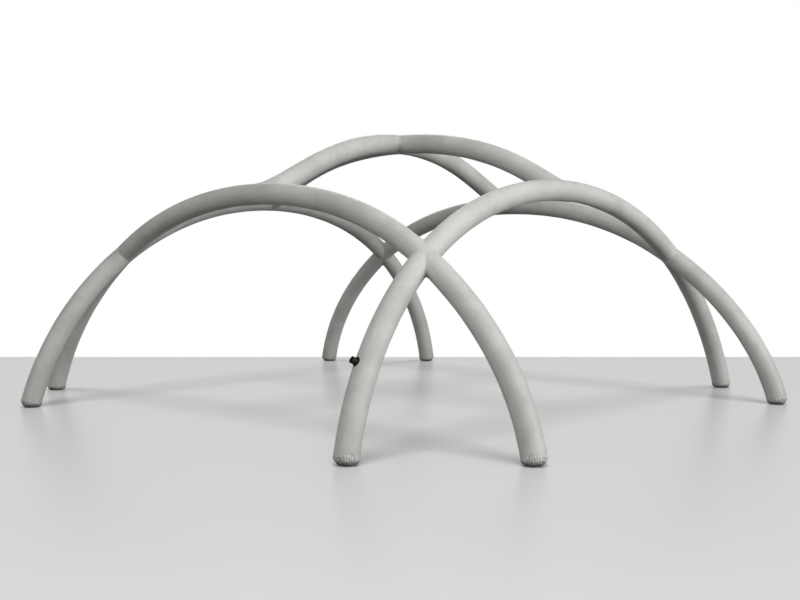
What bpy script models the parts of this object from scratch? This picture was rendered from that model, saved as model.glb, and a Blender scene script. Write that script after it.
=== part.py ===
"""Air frame of an event tent: four inflated arches crossing at the corners of a near-square plan.

The arches stand on eight gathered feet, and a crossed crown joins their tops. Every tube has the same
diameter. Tubes that cross are mitred on the planes that halve the angles between them, and the crown's
tubes are cut to a saddle where they meet the arches. +X is east and +Y is north. Metres, +Z up.
"""

from math import cos, pi, radians, sin, tan

import bmesh
import bpy
from mathutils import Matrix, Vector

# Tubes
TUBE_RADIUS = 0.100
TUBE_SIDES = 20
TUBE_STEPS = 9                      # rings between two knots of a centre line
GAP = 0.0003                        # left between two pieces that touch

# Where two arches cross, on their centre lines, from the middle of the plan
CORNER_X = 2.10
CORNER_Y = 2.03
CORNER_Z = 1.51
ARCH_LEAN = radians(4.3)            # each arch leans in over the frame

# Half arches. Angles are of the centre line to the vertical.
LONG_ARCH = {                       # runs east to west
    "foot_reach": 3.26,
    "foot_angle": radians(15.0),
    "corner_reach": CORNER_X,
    "corner_angle": radians(56.0),
    "apex_height": 2.09,
    "floor_offset": CORNER_Y + CORNER_Z * tan(ARCH_LEAN),
}
SHORT_ARCH = {                      # runs north to south
    "foot_reach": 3.05,
    "foot_angle": radians(15.0),
    "corner_reach": CORNER_Y,
    "corner_angle": radians(53.5),
    "apex_height": 2.13,
    "floor_offset": CORNER_X + CORNER_Z * tan(ARCH_LEAN),
}

# Crown. The end angle is above the level, the pulls are lengths of the curve's handles.
CROWN_HEIGHT = 2.69
CROWN_END_OFFSET = 0.030            # blunt lip where the crown's tube meets an arch
CROWN_NORTH_SOUTH = {"end_angle": radians(13.0), "end_pull": 0.46, "top_pull": 1.00}
CROWN_EAST_WEST = {"end_angle": radians(22.0), "end_pull": 0.26, "top_pull": 1.28}

# Feet
CAP_HEIGHT = 0.065                  # weld between leg and cap, over the floor on the centre line
CAP_SOLE_RADIUS = 0.057             # flat part that lies on the floor
CAP_ROUNDNESS = 0.55                # share of the way that the cap goes on straight from weld and sole
CAP_SIDES = 36
CAP_RINGS = 4
PUCKER_COUNT = 9
PUCKER_DEPTH = 0.005

# Air valve on the outer side of one leg, heights over the tube's surface
VALVE_HEIGHT = 0.69
VALVE_TURN = radians(18.0)          # turned from the leg's outer side towards the inside of the frame
VALVE_SIDES = 28
FLANGE_RADIUS = 0.041
FLANGE_THICKNESS = 0.0040
VALVE_SINK = 0.020                  # how far the blanks reach into the tube before they are cut to it
BODY_BASE_RADIUS = 0.029
BODY_BASE_TOP = 0.0140
BODY_EDGE = 0.002
NECK_RADIUS = 0.0220
NECK_TOP = 0.0340
VALVE_CAP_RADIUS = 0.0270
VALVE_CAP_BORE = 0.0226
VALVE_CAP_BOTTOM = 0.0155
VALVE_CAP_BORE_TOP = 0.0365
VALVE_CAP_TOP = 0.0430
VALVE_CAP_EDGE = 0.0025

# Each side of the plan: its arch, how far it is turned, and the names of its two ends
SIDES = ("south", "east", "north", "west")
SIDE_ARCH = {"south": LONG_ARCH, "east": SHORT_ARCH, "north": LONG_ARCH, "west": SHORT_ARCH}
SIDE_TURN = {"south": 0.0, "east": pi / 2, "north": pi, "west": 3 * pi / 2}
END_NAMES = {"south": {1: "e", -1: "w"}, "east": {1: "n", -1: "s"},
             "north": {1: "w", -1: "e"}, "west": {1: "s", -1: "n"}}

COLLECTION_NAME = "inflatable_arch_frame"
MERGE_DISTANCE = 0.00005


def clear_scene():
    for item in list(bpy.data.objects):
        bpy.data.objects.remove(item, do_unlink=True)


def new_collection(name):
    collection = bpy.data.collections.new(name)
    bpy.context.scene.collection.children.link(collection)
    return collection


def new_material(name, colour, roughness, metallic=0.0):
    material = bpy.data.materials.new(name)
    material.use_nodes = True
    shader = material.node_tree.nodes["Principled BSDF"]
    shader.inputs["Base Color"].default_value = (*colour, 1.0)
    shader.inputs["Roughness"].default_value = roughness
    shader.inputs["Metallic"].default_value = metallic
    return material


def finish(item, material, collection, sharp_angle=radians(38.0)):
    """Give a piece its material, smooth shading and place in the collection."""
    for old in list(item.users_collection):
        old.objects.unlink(item)
    collection.objects.link(item)
    item.data.materials.clear()
    item.data.materials.append(material)
    item.data.shade_smooth()
    item.data.set_sharp_from_angle(angle=sharp_angle)


# ---------------------------------------------------------------- centre lines

def handle_length(start, end, turn):
    """Handle of a Bezier segment that bends like an arc through the angle turn."""
    return 2 * (end - start).length / (3 * (1 + cos(turn / 2)))


def rising(angle):
    """Direction in an arch's own XZ plane, from the foot at +X up to the apex."""
    return Vector((-sin(angle), 0, cos(angle)))


def bezier_point(points, along):
    """Point at a share of the way along the Bezier curve that its control points give."""
    while len(points) > 1:
        points = [before.lerp(after, along) for before, after in zip(points, points[1:])]
    return points[0]


def half_arch(arch):
    """Knots of the half with its foot at +X, as (point, handle to the foot, handle to the apex)."""
    level = radians(90)
    seam = Vector((arch["foot_reach"] - CAP_HEIGHT * tan(arch["foot_angle"]), 0, CAP_HEIGHT))
    corner = Vector((arch["corner_reach"], 0, CORNER_Z / cos(ARCH_LEAN)))
    apex = Vector((0, 0, arch["apex_height"] / cos(ARCH_LEAN)))
    leg_pull = handle_length(seam, corner, arch["corner_angle"] - arch["foot_angle"])
    span_pull = handle_length(corner, apex, level - arch["corner_angle"])
    foot_way = rising(arch["foot_angle"])
    corner_way = rising(arch["corner_angle"])
    return [
        (seam, seam - foot_way * leg_pull, seam + foot_way * leg_pull),
        (corner, corner - corner_way * leg_pull, corner + corner_way * span_pull),
        (apex, apex - rising(level) * span_pull, apex + rising(level) * span_pull),
    ]


def mirrored(knot):
    """The same knot on the half at -X, met from the apex down to the foot."""
    flip = Vector((-1, 1, 1))
    point, to_foot, to_apex = knot
    return (point * flip, to_apex * flip, to_foot * flip)


def whole_arch(arch):
    half = half_arch(arch)
    return half + [mirrored(half[1]), mirrored(half[0])]


def arch_frame(side):
    """Where an arch's own XZ plane stands: turned to its side of the plan and leaning in."""
    offset = Vector((0, -SIDE_ARCH[side]["floor_offset"], 0))
    turn = Matrix.Rotation(SIDE_TURN[side], 4, "Z")
    return turn @ Matrix.Translation(offset) @ Matrix.Rotation(-ARCH_LEAN, 4, "X")


def apex_of(side):
    return arch_frame(side) @ half_arch(SIDE_ARCH[side])[2][0]


def whole_crown(side, crown):
    """Knots of the crown tube from the arch of side over the middle to the one opposite."""
    apex = apex_of(side)
    inward = Vector((-apex.x, -apex.y, 0)).normalized()
    up = Vector((0, 0, 1))
    way = inward * cos(crown["end_angle"]) + up * sin(crown["end_angle"])
    start = apex + way * CROWN_END_OFFSET
    top = Vector((0, 0, CROWN_HEIGHT))
    flip = Vector((-1, -1, 1))
    first = (start, start - way * crown["end_pull"], start + way * crown["end_pull"])
    middle = (top, top - inward * crown["top_pull"], top + inward * crown["top_pull"])
    last = (first[0] * flip, first[2] * flip, first[1] * flip)
    return [first, middle, last]


# ---------------------------------------------------------------- tubes

def as_mesh(source, name):
    """Turn a curve, or a mesh with modifiers, into a plain welded mesh in the same place."""
    bpy.context.view_layer.update()
    evaluated = source.evaluated_get(bpy.context.evaluated_depsgraph_get())
    mesh = bpy.data.meshes.new_from_object(evaluated)
    mesh.name = name
    bm = bmesh.new()
    bm.from_mesh(mesh)
    bmesh.ops.remove_doubles(bm, verts=bm.verts, dist=MERGE_DISTANCE)
    bmesh.ops.recalc_face_normals(bm, faces=bm.faces)
    bm.to_mesh(mesh)
    bm.free()
    item = bpy.data.objects.new(name, mesh)
    item.matrix_world = source.matrix_world
    bpy.context.scene.collection.objects.link(item)
    bpy.data.objects.remove(source)
    bpy.context.view_layer.update()
    return item


def tube(name, knots, radius, matrix=Matrix.Identity(4)):
    """A closed round tube on a Bezier centre line."""
    curve = bpy.data.curves.new(name + "_line", "CURVE")
    curve.dimensions = "3D"
    curve.resolution_u = TUBE_STEPS
    curve.bevel_depth = radius
    curve.bevel_resolution = TUBE_SIDES // 2 - 2
    curve.use_fill_caps = True
    spline = curve.splines.new("BEZIER")
    spline.bezier_points.add(len(knots) - 1)
    for point, (place, before, after) in zip(spline.bezier_points, knots):
        point.handle_left_type = "FREE"
        point.handle_right_type = "FREE"
        point.co = place
        point.handle_left = before
        point.handle_right = after
    line = bpy.data.objects.new(name + "_line", curve)
    line.matrix_world = matrix
    bpy.context.scene.collection.objects.link(line)
    return as_mesh(line, name)


def keep_side(item, point, normal):
    """Cut a piece on a plane, keep what lies on the normal's side of it, and close the cut."""
    to_item = item.matrix_world.inverted()
    bm = bmesh.new()
    bm.from_mesh(item.data)
    cut = bmesh.ops.bisect_plane(
        bm, geom=bm.verts[:] + bm.edges[:] + bm.faces[:], dist=0.000001,
        plane_co=to_item @ point, plane_no=to_item.to_3x3() @ normal, clear_inner=True)
    rim = [part for part in cut["geom_cut"] if isinstance(part, bmesh.types.BMEdge)]
    bmesh.ops.edgeloop_fill(bm, edges=rim)
    bmesh.ops.recalc_face_normals(bm, faces=bm.faces)
    bm.to_mesh(item.data)
    bm.free()


def mitre(item, centre, own_way, other_way):
    """Cut a tube that leaves a crossing along own_way, on both planes that halve the crossing."""
    for across in (own_way - other_way, own_way + other_way):
        normal = across.normalized()
        keep_side(item, centre + normal * GAP / 2, normal)


def copy_of(item, name):
    twin = item.copy()
    twin.data = item.data.copy()
    twin.name = name
    twin.data.name = name
    bpy.context.scene.collection.objects.link(twin)
    bpy.context.view_layer.update()
    return twin


def corner_of(side, end):
    """Centre of the crossing at one end of an arch, and the way up the arch from there."""
    knot = half_arch(SIDE_ARCH[side])[1]
    flip = Vector((end, 1, 1))
    frame = arch_frame(side)
    way = frame.to_3x3() @ (rising(SIDE_ARCH[side]["corner_angle"]) * flip)
    return frame @ (knot[0] * flip), way


def neighbour(side, end):
    """The arch that crosses this one at the given end, and which of its own ends does."""
    return SIDES[(SIDES.index(side) + end) % len(SIDES)], -end


def cut_arch(side, material, collection):
    """One arch as a span between its two crossings and a leg beyond each."""
    whole = tube("arch_" + side, whole_arch(SIDE_ARCH[side]), TUBE_RADIUS, arch_frame(side))
    span = copy_of(whole, "span_" + side)
    for end in (1, -1):
        centre, way = corner_of(side, end)
        other_way = corner_of(*neighbour(side, end))[1]
        leg = copy_of(whole, "leg_{}_{}".format(side, END_NAMES[side][end]))
        mitre(leg, centre, -way, other_way)
        mitre(span, centre, way, other_way)
        finish(leg, material, collection)
    finish(span, material, collection)
    bpy.data.objects.remove(whole)


def cut_crown(side, opposite, across, crown, material, collection, cutters):
    """The crown tube between two opposite arches, mitred over the middle and saddled at both ends."""
    whole = tube("crown_line_" + side, whole_crown(side, crown), TUBE_RADIUS)
    for own in (side, opposite):
        outward = Vector((*apex_of(own).xy, 0)).normalized()
        half = copy_of(whole, "crown_" + own)
        mitre(half, Vector((0, 0, CROWN_HEIGHT)), outward, across)
        saddle = half.modifiers.new("saddle", "BOOLEAN")
        saddle.operation = "DIFFERENCE"
        saddle.solver = "EXACT"
        saddle.object = cutters["arch_" + own]
        finish(half, material, collection)
    bpy.data.objects.remove(whole)


def tube_cutter(name, side, clearance, collection):
    """An arch's tube grown by a clearance, which cuts what sits on it."""
    radius = TUBE_RADIUS + clearance
    cutter = tube(name, whole_arch(SIDE_ARCH[side]), radius, arch_frame(side))
    for old in list(cutter.users_collection):
        old.objects.unlink(cutter)
    collection.objects.link(cutter)
    cutter.hide_render = True
    cutter.display_type = "WIRE"
    return cutter


# ---------------------------------------------------------------- feet

def foot_cap(side, end, material, collection):
    """The gathered cap that closes a leg's end, from the weld down to its flat sole."""
    arch = SIDE_ARCH[side]
    frame = arch_frame(side)
    flip = Vector((end, 1, 1))
    down = frame.to_3x3() @ (-rising(arch["foot_angle"]) * flip)
    seam_centre = frame @ (half_arch(arch)[0][0] * flip) + down * GAP
    sole_centre = frame @ Vector((arch["foot_reach"] * end, 0, 0))
    outward = (frame.to_3x3() @ Vector((end, 0, 0))).normalized()
    sideways = down.cross(outward).normalized()
    leaning = sideways.cross(down).normalized()
    level_side = Vector((-outward.y, outward.x, 0))
    if level_side.dot(sideways) < 0:
        level_side.negate()

    bm = bmesh.new()
    rings = []
    for ring_index in range(CAP_RINGS + 1):
        along = ring_index / CAP_RINGS
        ring = []
        for step in range(CAP_SIDES):
            turn = 2 * pi * step / CAP_SIDES
            weld = seam_centre + TUBE_RADIUS * (leaning * cos(turn) + sideways * sin(turn))
            spread = outward * cos(turn) + level_side * sin(turn)
            sole = sole_centre + CAP_SOLE_RADIUS * spread
            down_pull = (sole - weld).dot(down) * CAP_ROUNDNESS
            side_pull = (weld - sole).dot(spread) * CAP_ROUNDNESS
            place = bezier_point((weld, weld + down * down_pull, sole + spread * side_pull, sole), along)
            unevenness = 0.7 + 0.3 * sin(2 * turn + end)
            gather = PUCKER_DEPTH * unevenness * (1 + cos(PUCKER_COUNT * turn)) / 2
            place -= spread * gather * sin(along * pi)
            ring.append(bm.verts.new(place - sole_centre))
        rings.append(ring)
    for upper, lower in zip(rings, rings[1:]):
        for step in range(CAP_SIDES):
            after = (step + 1) % CAP_SIDES
            bm.faces.new((upper[step], upper[after], lower[after], lower[step]))
    bm.faces.new(rings[0])
    bm.faces.new(rings[-1])
    bmesh.ops.recalc_face_normals(bm, faces=bm.faces)

    name = "foot_{}_{}".format(side, END_NAMES[side][end])
    mesh = bpy.data.meshes.new(name)
    bm.to_mesh(mesh)
    bm.free()
    item = bpy.data.objects.new(name, mesh)
    item.location = sole_centre
    bpy.context.scene.collection.objects.link(item)
    finish(item, material, collection)


# ---------------------------------------------------------------- valve

def leg_at_height(arch, height):
    """Point and angle to the vertical of a leg's centre line, where it passes a height."""
    seam, corner = half_arch(arch)[:2]
    corners = (seam[0], seam[2], corner[1], corner[0])
    low, high = 0.0, 1.0
    for _ in range(30):
        middle = (low + high) / 2
        if bezier_point(corners, middle).z < height:
            low = middle
        else:
            high = middle
    ways = [after - before for before, after in zip(corners, corners[1:])]
    return bezier_point(corners, middle), Vector((0, 0, 1)).angle(bezier_point(ways, middle))


def valve_frame(side, end):
    """Axes at the valve's seat on the leg's surface, with Z straight out of the tube."""
    frame = arch_frame(side)
    place, angle = leg_at_height(SIDE_ARCH[side], VALVE_HEIGHT / cos(ARCH_LEAN))
    outer = Vector((cos(angle) * end, 0, sin(angle)))
    inside = Vector((0, 1, 0))
    way = outer * cos(VALVE_TURN) + inside * sin(VALVE_TURN)
    along = Vector((-sin(angle) * end, 0, cos(angle)))
    axes = Matrix((along, way.cross(along), way)).transposed().to_4x4()
    seat = Vector((place.x * end, 0, place.z)) + way * TUBE_RADIUS
    return frame @ Matrix.Translation(seat) @ axes


def turned(name, profile, matrix):
    """A turned piece from its profile of (radius, height), which runs from the axis out and back."""
    mesh = bpy.data.meshes.new(name + "_profile")
    bm = bmesh.new()
    points = [bm.verts.new((radius, 0, height)) for radius, height in profile]
    for first, second in zip(points, points[1:]):
        bm.edges.new((first, second))
    bm.to_mesh(mesh)
    bm.free()
    outline = bpy.data.objects.new(name + "_profile", mesh)
    outline.matrix_world = matrix
    bpy.context.scene.collection.objects.link(outline)
    screw = outline.modifiers.new("turn", "SCREW")
    screw.axis = "Z"
    screw.steps = VALVE_SIDES
    screw.render_steps = VALVE_SIDES
    screw.use_merge_vertices = True
    screw.merge_threshold = MERGE_DISTANCE
    return as_mesh(outline, name)


def trim(item, operation, cutter):
    cut = item.modifiers.new(operation.lower(), "BOOLEAN")
    cut.operation = operation
    cut.solver = "EXACT"
    cut.object = cutter


def build_valve(side, end, material, collection, cutters):
    """The valve: a flange welded on the tube, the body with its neck, and the cap over the neck."""
    frame = valve_frame(side, end)
    flange = turned("valve_flange", [
        (0, VALVE_SINK), (FLANGE_RADIUS, VALVE_SINK),
        (FLANGE_RADIUS, -VALVE_SINK), (0, -VALVE_SINK)], frame)
    trim(flange, "INTERSECT", cutters["flange_skin"])
    trim(flange, "DIFFERENCE", cutters["arch_" + side])
    body = turned("valve_body", [
        (0, NECK_TOP), (NECK_RADIUS - BODY_EDGE, NECK_TOP), (NECK_RADIUS, NECK_TOP - BODY_EDGE),
        (NECK_RADIUS, BODY_BASE_TOP), (BODY_BASE_RADIUS - BODY_EDGE, BODY_BASE_TOP),
        (BODY_BASE_RADIUS, BODY_BASE_TOP - BODY_EDGE),
        (BODY_BASE_RADIUS, -VALVE_SINK), (0, -VALVE_SINK)], frame)
    trim(body, "DIFFERENCE", cutters["body_seat"])
    cap = turned("valve_cap", [
        (0, VALVE_CAP_TOP), (VALVE_CAP_RADIUS - VALVE_CAP_EDGE, VALVE_CAP_TOP),
        (VALVE_CAP_RADIUS, VALVE_CAP_TOP - VALVE_CAP_EDGE), (VALVE_CAP_RADIUS, VALVE_CAP_BOTTOM),
        (VALVE_CAP_BORE, VALVE_CAP_BOTTOM), (VALVE_CAP_BORE, VALVE_CAP_BORE_TOP),
        (0, VALVE_CAP_BORE_TOP)], frame)
    for item in (flange, body, cap):
        finish(item, material, collection)


# ---------------------------------------------------------------- frame

def main():
    clear_scene()
    collection = new_collection(COLLECTION_NAME)
    cutter_collection = new_collection(COLLECTION_NAME + "_cutters")
    fabric = new_material("coated_fabric", (0.42, 0.41, 0.39), 0.62)
    plastic = new_material("black_plastic", (0.012, 0.012, 0.013), 0.45)

    cutters = {}
    for side in SIDES:
        cutters["arch_" + side] = tube_cutter("cut_arch_" + side, side, GAP, cutter_collection)
    cutters["flange_skin"] = tube_cutter("cut_flange_skin", "east", FLANGE_THICKNESS, cutter_collection)
    cutters["body_seat"] = tube_cutter(
        "cut_body_seat", "east", FLANGE_THICKNESS + GAP, cutter_collection)

    for side in SIDES:
        cut_arch(side, fabric, collection)
        for end in (1, -1):
            foot_cap(side, end, fabric, collection)
    cut_crown("south", "north", Vector((1, 0, 0)), CROWN_NORTH_SOUTH, fabric, collection, cutters)
    cut_crown("east", "west", Vector((0, 1, 0)), CROWN_EAST_WEST, fabric, collection, cutters)
    build_valve("east", -1, plastic, collection, cutters)


main()
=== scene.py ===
from bisect import bisect
from math import atan2, cos, exp, pi, radians, sin, sqrt, tan

import bpy
from mathutils import Matrix, Vector, noise


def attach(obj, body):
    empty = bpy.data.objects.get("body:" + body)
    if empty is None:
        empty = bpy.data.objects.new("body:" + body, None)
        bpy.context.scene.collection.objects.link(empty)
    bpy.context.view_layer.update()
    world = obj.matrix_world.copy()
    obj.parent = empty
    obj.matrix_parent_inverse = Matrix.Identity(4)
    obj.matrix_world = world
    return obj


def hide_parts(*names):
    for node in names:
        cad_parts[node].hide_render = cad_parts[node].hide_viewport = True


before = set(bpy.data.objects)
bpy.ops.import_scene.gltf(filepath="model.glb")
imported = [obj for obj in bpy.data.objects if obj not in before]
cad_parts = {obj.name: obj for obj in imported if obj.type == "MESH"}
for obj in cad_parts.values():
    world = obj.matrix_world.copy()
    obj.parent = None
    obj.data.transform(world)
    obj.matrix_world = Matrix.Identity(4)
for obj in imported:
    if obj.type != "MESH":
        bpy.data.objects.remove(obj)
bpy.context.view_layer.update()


scene = bpy.context.scene


# Small helpers

def editMode(isOn):
    bpy.ops.object.mode_set(mode="EDIT" if isOn else "OBJECT")


def nothingSelected():
    if bpy.context.object and bpy.context.object.mode != "OBJECT":
        editMode(False)
    bpy.ops.object.select_all(action="DESELECT")


def onlySelected(piece):
    nothingSelected()
    piece.select_set(True)
    bpy.context.view_layer.objects.active = piece


def addPiece(name, operator, **settings):
    nothingSelected()
    operator(**settings)
    piece = bpy.context.object
    piece.name = piece.data.name = name
    return piece


def editAll(piece):
    onlySelected(piece)
    editMode(True)
    bpy.ops.mesh.select_all(action="SELECT")


def turnFacesOut(piece):
    editAll(piece)
    bpy.ops.mesh.normals_make_consistent()
    editMode(False)


def smoothStep(low, high, value):
    share = min(max((value - low) / (high - low), 0), 1)
    return share * share * (3 - 2 * share)


# Centre lines of the arches and the crown

tubeRadius = 0.100
circumference = 2 * pi * tubeRadius
crossing = {"x": 2.10, "y": 2.03, "z": 1.51}  # where two arches cross
archSizes = {
    "lean": radians(4.3),  # each arch leans in over the frame
    "weldHeight": 0.065,  # weld between leg and foot, over the floor
    "long": {"footReach": 3.26, "footAngle": radians(15), "cornerReach": crossing["x"],
             "cornerAngle": radians(56), "apexHeight": 2.09, "planeOffset": crossing["y"]},
    "short": {"footReach": 3.05, "footAngle": radians(15), "cornerReach": crossing["y"],
              "cornerAngle": radians(53.5), "apexHeight": 2.13, "planeOffset": crossing["x"]},
}
crownSizes = {
    "height": 2.69,
    "southNorth": {"endAngle": radians(13), "endPull": 0.46, "topPull": 1.0},
    "eastWest": {"endAngle": radians(22), "endPull": 0.26, "topPull": 1.28},
    "endOffset": 0.030,
    "intoArch": 0.15,  # the line goes on this far into the arch's tube
    "intoArchPull": 0.05,
}
sides = ("south", "east", "north", "west")


def archOf(side):
    return archSizes["long" if side in ("south", "north") else "short"]


def neighbourOf(side, end):
    return sides[(sides.index(side) + end) % len(sides)]


def bezierPoint(points, along):
    while len(points) > 1:
        points = [before.lerp(after, along) for before, after in zip(points, points[1:])]
    return points[0]


def handleLength(start, end, turn):
    return 2 * (end - start).length / (3 * (1 + cos(turn / 2)))


def rising(angle):
    return Vector((-sin(angle), 0, cos(angle)))


def knotAt(place, way, before, after):
    return place, place - way * before, place + way * after


def halfArch(arch):
    # knots with both handles at the weld, the corner and the apex, foot at +X
    lean, weldHeight = archSizes["lean"], archSizes["weldHeight"]
    weld = Vector((arch["footReach"] - weldHeight * tan(arch["footAngle"]), 0, weldHeight))
    corner = Vector((arch["cornerReach"], 0, crossing["z"] / cos(lean)))
    apex = Vector((0, 0, arch["apexHeight"] / cos(lean)))
    legPull = handleLength(weld, corner, arch["cornerAngle"] - arch["footAngle"])
    spanPull = handleLength(corner, apex, pi / 2 - arch["cornerAngle"])
    return [knotAt(weld, rising(arch["footAngle"]), legPull, legPull),
            knotAt(corner, rising(arch["cornerAngle"]), legPull, spanPull),
            knotAt(apex, rising(pi / 2), spanPull, spanPull)]


def mirrored(half, flip):
    # both halves of a centre line whose last knot lies in the middle
    return half + [(place * flip, after * flip, before * flip)
                   for place, before, after in half[-2::-1]]


def archPlace(side):
    arch = archOf(side)
    offset = arch["planeOffset"] + crossing["z"] * tan(archSizes["lean"])
    turn = Matrix.Rotation(sides.index(side) * pi / 2, 4, "Z")
    lean = Matrix.Rotation(-archSizes["lean"], 4, "X")
    return turn @ Matrix.Translation((0, -offset, 0)) @ lean


def cornerOf(side, end):
    # centre of the crossing at one end of an arch, and the way up the arch from there
    arch = archOf(side)
    place, flip = archPlace(side), Vector((end, 1, 1))
    way = place.to_3x3() @ (rising(arch["cornerAngle"]) * flip)
    return place @ (halfArch(arch)[1][0] * flip), way


def wholeCrown(side, crown):
    apex = archPlace(side) @ halfArch(archOf(side))[2][0]
    inward = Vector((-apex.x, -apex.y, 0)).normalized()
    way = inward * cos(crown["endAngle"]) + Vector((0, 0, sin(crown["endAngle"])))
    start, top = apex + way * crownSizes["endOffset"], Vector((0, 0, crownSizes["height"]))
    back, pull = apex - way * crownSizes["intoArch"], crownSizes["intoArchPull"]
    half = [knotAt(back, way, pull, pull), knotAt(start, way, pull, crown["endPull"]),
            knotAt(top, inward, crown["topPull"], crown["topPull"])]
    return mirrored(half, Vector((-1, -1, 1))), inward


def traceLine(knots, place, across, steps=240, samePlace=1e-7):
    # close samples of a centre line: distance from its start, point and direction
    turn = place.to_3x3()
    distances, points, ways = [], [], []
    for start, end in zip(knots, knots[1:]):
        corners = [start[0], start[2], end[1], end[0]]
        tangents = [after - before for before, after in zip(corners, corners[1:])]
        for step in range(steps + 1):
            point = place @ bezierPoint(corners, step / steps)
            if points and (point - points[-1]).length < samePlace:
                continue
            distances.append(distances[-1] + (point - points[-1]).length if points else 0)
            points.append(point)
            ways.append((turn @ bezierPoint(tangents, step / steps)).normalized())
    return {"distances": distances, "points": points, "ways": ways, "across": across,
            "length": distances[-1]}


def lineAt(line, distance):
    # point of a centre line, and the way to the outer side of its bend there
    index = min(max(bisect(line["distances"], distance) - 1, 0), len(line["distances"]) - 2)
    before, after = line["distances"][index:index + 2]
    share = (distance - before) / (after - before)
    point = line["points"][index].lerp(line["points"][index + 1], share)
    way = line["ways"][index].lerp(line["ways"][index + 1], share).normalized()
    return point, line["across"].cross(way)


def skinPoint(line, distance, turn):
    # turn runs from the outer side of the bend towards the line's across side
    point, outer = lineAt(line, distance)
    normal = outer * cos(turn) + line["across"] * sin(turn)
    return point + normal * tubeRadius, normal


def distanceNear(line, place):
    points = line["points"]
    nearest = min(range(len(points)), key=lambda index: (points[index] - place).length)
    return line["distances"][nearest]


def axisDistance(line, place, near, reach=0.35, rounds=22):
    # how far a point is from a centre line, near a known distance along it, by golden section
    low, high = near - reach, near + reach
    for _ in range(rounds):
        first, second = low + (high - low) * 0.382, low + (high - low) * 0.618
        if (lineAt(line, first)[0] - place).length < (lineAt(line, second)[0] - place).length:
            high = second
        else:
            low = first
    return (lineAt(line, (low + high) / 2)[0] - place).length


# Cuts between the tubes

def mitreCut(centre, ownWay, otherWay, gap=0.0003):
    # distance inside the nearer of the two planes that halve a crossing, that plane's normal,
    # and how much further off the other plane is
    normals = [(ownWay - otherWay).normalized(), (ownWay + otherWay).normalized()]

    def inside(place):
        first, second = ((place - centre).dot(normal) - gap / 2 for normal in normals)
        nearer = normals[0] if first < second else normals[1]
        return min(first, second), nearer, abs(first - second)
    return inside


def findCut(line, turn, kept, gone, cut, halvings=24):
    # where a line along the tube's skin meets a cut, between a kept place and a gone one
    for _ in range(halvings):
        middle = (kept + gone) / 2
        if cut(skinPoint(line, middle, turn)[0])[0] > 0:
            kept = middle
        else:
            gone = middle
    return kept


# Sleeves

sleeveSizes = {
    "columns": 60,
    "ringStep": 0.014,  # between rings away from the seams
    "seamStep": 0.0012,  # first ring beside a seam
    "stepGrowth": 1.32,
    "blend": 0.42,  # length over which rings turn from a slanted seam to square
    "cutSearch": 0.36,  # a seam lies within this of the crossing's centre
    "lapTurn": radians(125),  # of the long seam, from the outer side of the bend
}
creaseSizes = {
    "upTo": 0.12,  # from the seam
    "filletReach": 0.016,  # the crease between two tubes is rounded this far from the seam
    "steepest": 1.8, "flattest": 0.3,
    "grooveDepth": 0.0011, "grooveWidth": 0.0028,
    "levelGroove": 0.35,  # share of its depth where the two skins are level
    "puckerDepth": 0.0018, "puckerReach": 0.026,
    "puckers": 46,  # in a metre of seam
}
skinSizes = {
    "unevenness": 0.001,
    "lumps": 2.3,  # in a metre
    "smallLumps": 8, "smallShare": 0.4,
    "streak": 0.0011,  # long soft folds left by packing
    "streaksAlong": 5,  # in a metre
    "streaksRound": 3,
    "streakTwist": 1.5,  # radians in a metre
    "streakOffset": 11,  # gives each arch folds of its own
    "wrinkle": 0.00035,  # on the inner side of the bend
    "wrinkleLength": 0.052, "wrinkleDrift": 3, "driftLumps": 3,
}
legEnd = {  # the leg's own fabric draws in under the foot's
    "tuckDepth": 0.007, "tuckFrom": 0.012, "tuckTo": 0.021,
    "trueUpTo": 0.16,  # the unevenness starts above this
}


def ringPlaces(total):
    # rings close together beside both seams and further apart between them
    size = sleeveSizes
    close, step = [0], size["seamStep"]
    while step < size["ringStep"] and close[-1] < total / 3:
        close.append(close[-1] + step)
        step *= size["stepGrowth"]
    middle = total - close[-1] - close[-1]
    count = max(round(middle / size["ringStep"]), 1)
    places = close[:-1] + [close[-1] + middle * step / count for step in range(count + 1)]
    return places + [total - step for step in close[-2::-1]]


def bevelledSleeve(name, line, start, end, rings, ahead=0.01):
    # a bevelled curve between two places of a centre line, made a mesh of even rings
    curve = addPiece(name, bpy.ops.curve.primitive_bezier_curve_add).data
    curve.dimensions = "3D"
    curve.resolution_u = rings
    curve.bevel_depth = tubeRadius
    curve.bevel_resolution = sleeveSizes["columns"] // 2 - 2
    for point, place in zip(curve.splines[0].bezier_points, (start, end)):
        knot = lineAt(line, place)[0]
        pull = (lineAt(line, place + ahead)[0] - knot).normalized() * (end - start) / 3
        point.handle_left_type = point.handle_right_type = "FREE"
        point.co, point.handle_left, point.handle_right = knot, knot - pull, knot + pull
    bpy.ops.object.convert(target="MESH")
    return bpy.context.object


def spreadMap(mesh, distances, firstTurn):
    # the map in metres: along the sleeve, and round it from its long seam
    flat = mesh.uv_layers["UVMap"].data
    for loop in mesh.loops:
        spot = flat[loop.index]
        spot.uv = (distances[loop.vertex_index], firstTurn * tubeRadius + spot.uv.y * circumference)


def closeEnds(sleeve):
    onlySelected(sleeve)
    editMode(True)
    bpy.ops.mesh.select_mode(type="EDGE")
    bpy.ops.mesh.select_all(action="DESELECT")
    bpy.ops.mesh.select_non_manifold()
    bpy.ops.mesh.mark_sharp()
    bpy.ops.mesh.fill_holes(sides=0)
    turnFacesOut(sleeve)
    bpy.ops.object.shade_smooth()


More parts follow.
